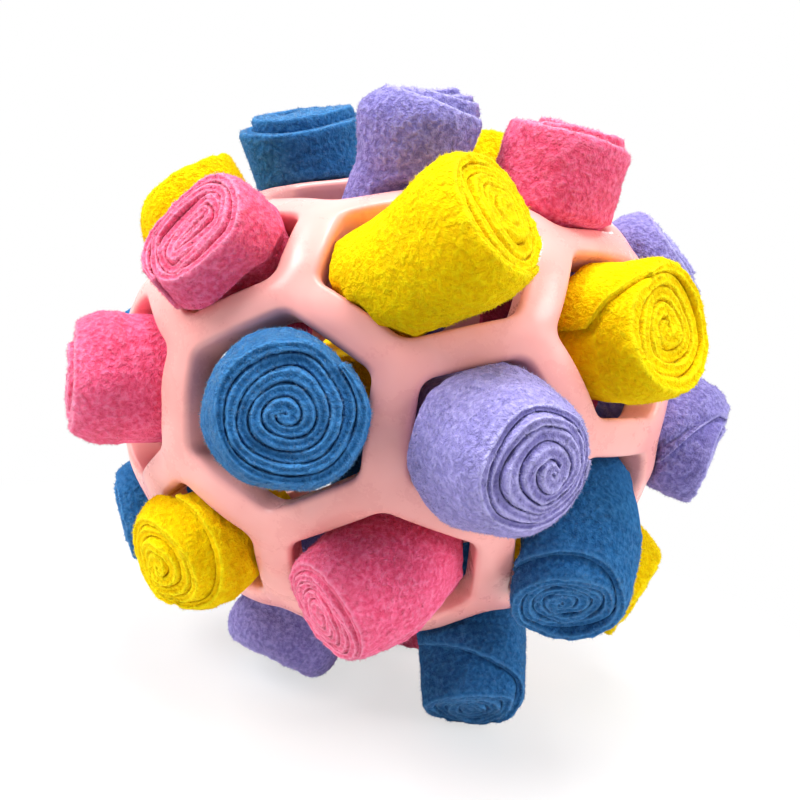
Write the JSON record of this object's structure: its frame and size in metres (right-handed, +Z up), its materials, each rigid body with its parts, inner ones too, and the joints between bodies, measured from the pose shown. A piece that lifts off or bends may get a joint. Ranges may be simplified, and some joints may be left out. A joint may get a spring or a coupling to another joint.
{
  "type": "snuffle ball",
  "caption": "Soft moulded lattice ball like a football's seams, stuffed with tightly wound rolls of coloured fleece that hide treats.",
  "frame": {"origin": "on the floor, under the middle of the bounding box", "axes": "+Z up, -Y towards the front that the picture shows, +X to its right"},
  "size_m": [0.1422, 0.1398, 0.1305],
  "materials": {
    "salmon_rubber": "satin",
    "lavender_fleece": "brushed fleece, matt",
    "blue_fleece": "brushed fleece, matt",
    "yellow_fleece": "brushed fleece, matt",
    "pink_fleece": "brushed fleece, matt"
  },
  "bodies": {
    "ball": {"rubber_ball": "salmon_rubber"},
    "blue_roll_1": {"blue_roll_1": "blue_fleece"},
    "blue_roll_2": {"blue_roll_2": "blue_fleece"},
    "blue_roll_3": {"blue_roll_3": "blue_fleece"},
    "blue_roll_4": {"blue_roll_4": "blue_fleece"},
    "blue_roll_5": {"blue_roll_5": "blue_fleece"},
    "blue_roll_6": {"blue_roll_6": "blue_fleece"},
    "blue_roll_7": {"blue_roll_7": "blue_fleece"},
    "blue_roll_8": {"blue_roll_8": "blue_fleece"},
    "lavender_roll_1": {"lavender_roll_1": "lavender_fleece"},
    "lavender_roll_2": {"lavender_roll_2": "lavender_fleece"},
    "lavender_roll_3": {"lavender_roll_3": "lavender_fleece"},
    "lavender_roll_4": {"lavender_roll_4": "lavender_fleece"},
    "lavender_roll_5": {"lavender_roll_5": "lavender_fleece"},
    "lavender_roll_6": {"lavender_roll_6": "lavender_fleece"},
    "lavender_roll_7": {"lavender_roll_7": "lavender_fleece"},
    "lavender_roll_8": {"lavender_roll_8": "lavender_fleece"},
    "pink_roll_1": {"pink_roll_1": "pink_fleece"},
    "pink_roll_2": {"pink_roll_2": "pink_fleece"},
    "pink_roll_3": {"pink_roll_3": "pink_fleece"},
    "pink_roll_4": {"pink_roll_4": "pink_fleece"},
    "pink_roll_5": {"pink_roll_5": "pink_fleece"},
    "pink_roll_6": {"pink_roll_6": "pink_fleece"},
    "pink_roll_7": {"pink_roll_7": "pink_fleece"},
    "pink_roll_8": {"pink_roll_8": "pink_fleece"},
    "yellow_roll_1": {"yellow_roll_1": "yellow_fleece"},
    "yellow_roll_2": {"yellow_roll_2": "yellow_fleece"},
    "yellow_roll_3": {"yellow_roll_3": "yellow_fleece"},
    "yellow_roll_4": {"yellow_roll_4": "yellow_fleece"},
    "yellow_roll_5": {"yellow_roll_5": "yellow_fleece"},
    "yellow_roll_6": {"yellow_roll_6": "yellow_fleece"},
    "yellow_roll_7": {"yellow_roll_7": "yellow_fleece"},
    "yellow_roll_8": {"yellow_roll_8": "yellow_fleece"}
  },
  "joints": [
    {"name": "blue_roll_1_pull", "type": "slide", "parent": "ball", "child": "blue_roll_1", "axis": [0.1313, -0.9775, 0.1651], "range_m": [0, 0.02]},
    {"name": "blue_roll_2_pull", "type": "slide", "parent": "ball", "child": "blue_roll_2", "axis": [0.0934, -0.7488, -0.6562], "range_m": [0, 0.02]},
    {"name": "blue_roll_3_pull", "type": "slide", "parent": "ball", "child": "blue_roll_3", "axis": [-0.2779, -0.2319, 0.9322], "range_m": [0, 0.02]},
    {"name": "blue_roll_4_pull", "type": "slide", "parent": "ball", "child": "blue_roll_4", "axis": [0.1089, -0.7232, -0.682], "range_m": [0, 0.02]},
    {"name": "blue_roll_5_pull", "type": "slide", "parent": "ball", "child": "blue_roll_5", "axis": [-0.8969, -0.2723, -0.3484], "range_m": [0, 0.02]},
    {"name": "blue_roll_6_pull", "type": "slide", "parent": "ball", "child": "blue_roll_6", "axis": [-0.9086, 0.1623, 0.3849], "range_m": [0, 0.02]},
    {"name": "blue_roll_7_pull", "type": "slide", "parent": "ball", "child": "blue_roll_7", "axis": [0.5928, 0.6898, -0.4156], "range_m": [0, 0.02]},
    {"name": "blue_roll_8_pull", "type": "slide", "parent": "ball", "child": "blue_roll_8", "axis": [-0.0487, 0.8931, -0.4472], "range_m": [0, 0.02]},
    {"name": "lavender_roll_1_pull", "type": "slide", "parent": "ball", "child": "lavender_roll_1", "axis": [0.3646, -0.931, 0.0147], "range_m": [0, 0.02]},
    {"name": "lavender_roll_2_pull", "type": "slide", "parent": "ball", "child": "lavender_roll_2", "axis": [0.1817, -0.2233, 0.9577], "range_m": [0, 0.02]},
    {"name": "lavender_roll_3_pull", "type": "slide", "parent": "ball", "child": "lavender_roll_3", "axis": [0.6583, -0.1543, 0.7367], "range_m": [0, 0.02]},
    {"name": "lavender_roll_4_pull", "type": "slide", "parent": "ball", "child": "lavender_roll_4", "axis": [0.9403, -0.2752, -0.2001], "range_m": [0, 0.02]},
    {"name": "lavender_roll_5_pull", "type": "slide", "parent": "ball", "child": "lavender_roll_5", "axis": [-0.2829, -0.3672, -0.8861], "range_m": [0, 0.02]},
    {"name": "lavender_roll_6_pull", "type": "slide", "parent": "ball", "child": "lavender_roll_6", "axis": [-0.3752, 0.3375, -0.8633], "range_m": [0, 0.02]},
    {"name": "lavender_roll_7_pull", "type": "slide", "parent": "ball", "child": "lavender_roll_7", "axis": [-0.1016, 0.7672, 0.6334], "range_m": [0, 0.02]},
    {"name": "lavender_roll_8_pull", "type": "slide", "parent": "ball", "child": "lavender_roll_8", "axis": [0.2816, 0.9434, 0.1754], "range_m": [0, 0.02]},
    {"name": "pink_roll_1_pull", "type": "slide", "parent": "ball", "child": "pink_roll_1", "axis": [-0.5041, -0.8097, 0.3005], "range_m": [0, 0.02]},
    {"name": "pink_roll_2_pull", "type": "slide", "parent": "ball", "child": "pink_roll_2", "axis": [-0.4649, -0.7896, -0.4005], "range_m": [0, 0.02]},
    {"name": "pink_roll_3_pull", "type": "slide", "parent": "ball", "child": "pink_roll_3", "axis": [-0.9242, -0.3792, -0.0455], "range_m": [0, 0.02]},
    {"name": "pink_roll_4_pull", "type": "slide", "parent": "ball", "child": "pink_roll_4", "axis": [0.1196, -0.2176, 0.9687], "range_m": [0, 0.02]},
    {"name": "pink_roll_5_pull", "type": "slide", "parent": "ball", "child": "pink_roll_5", "axis": [0.4368, 0.6591, 0.6122], "range_m": [0, 0.02]},
    {"name": "pink_roll_6_pull", "type": "slide", "parent": "ball", "child": "pink_roll_6", "axis": [-0.6487, 0.6304, 0.4265], "range_m": [0, 0.02]},
    {"name": "pink_roll_7_pull", "type": "slide", "parent": "ball", "child": "pink_roll_7", "axis": [0.2932, 0.2214, -0.9301], "range_m": [0, 0.02]},
    {"name": "pink_roll_8_pull", "type": "slide", "parent": "ball", "child": "pink_roll_8", "axis": [0.8554, 0.5057, 0.112], "range_m": [0, 0.02]},
    {"name": "yellow_roll_1_pull", "type": "slide", "parent": "ball", "child": "yellow_roll_1", "axis": [0.5696, -0.6592, 0.4909], "range_m": [0, 0.02]},
    {"name": "yellow_roll_2_pull", "type": "slide", "parent": "ball", "child": "yellow_roll_2", "axis": [0.6338, -0.7511, 0.1849], "range_m": [0, 0.02]},
    {"name": "yellow_roll_3_pull", "type": "slide", "parent": "ball", "child": "yellow_roll_3", "axis": [-0.5298, -0.7966, -0.2911], "range_m": [0, 0.02]},
    {"name": "yellow_roll_4_pull", "type": "slide", "parent": "ball", "child": "yellow_roll_4", "axis": [0.8904, -0.2964, -0.3454], "range_m": [0, 0.02]},
    {"name": "yellow_roll_5_pull", "type": "slide", "parent": "ball", "child": "yellow_roll_5", "axis": [-0.5883, -0.1505, 0.7945], "range_m": [0, 0.02]},
    {"name": "yellow_roll_6_pull", "type": "slide", "parent": "ball", "child": "yellow_roll_6", "axis": [0.094, -0.0709, 0.993], "range_m": [0, 0.02]},
    {"name": "yellow_roll_7_pull", "type": "slide", "parent": "ball", "child": "yellow_roll_7", "axis": [-0.2876, 0.9441, 0.1609], "range_m": [0, 0.02]},
    {"name": "yellow_roll_8_pull", "type": "slide", "parent": "ball", "child": "yellow_roll_8", "axis": [-0.6988, 0.6662, -0.2605], "range_m": [0, 0.02]}
  ]
}
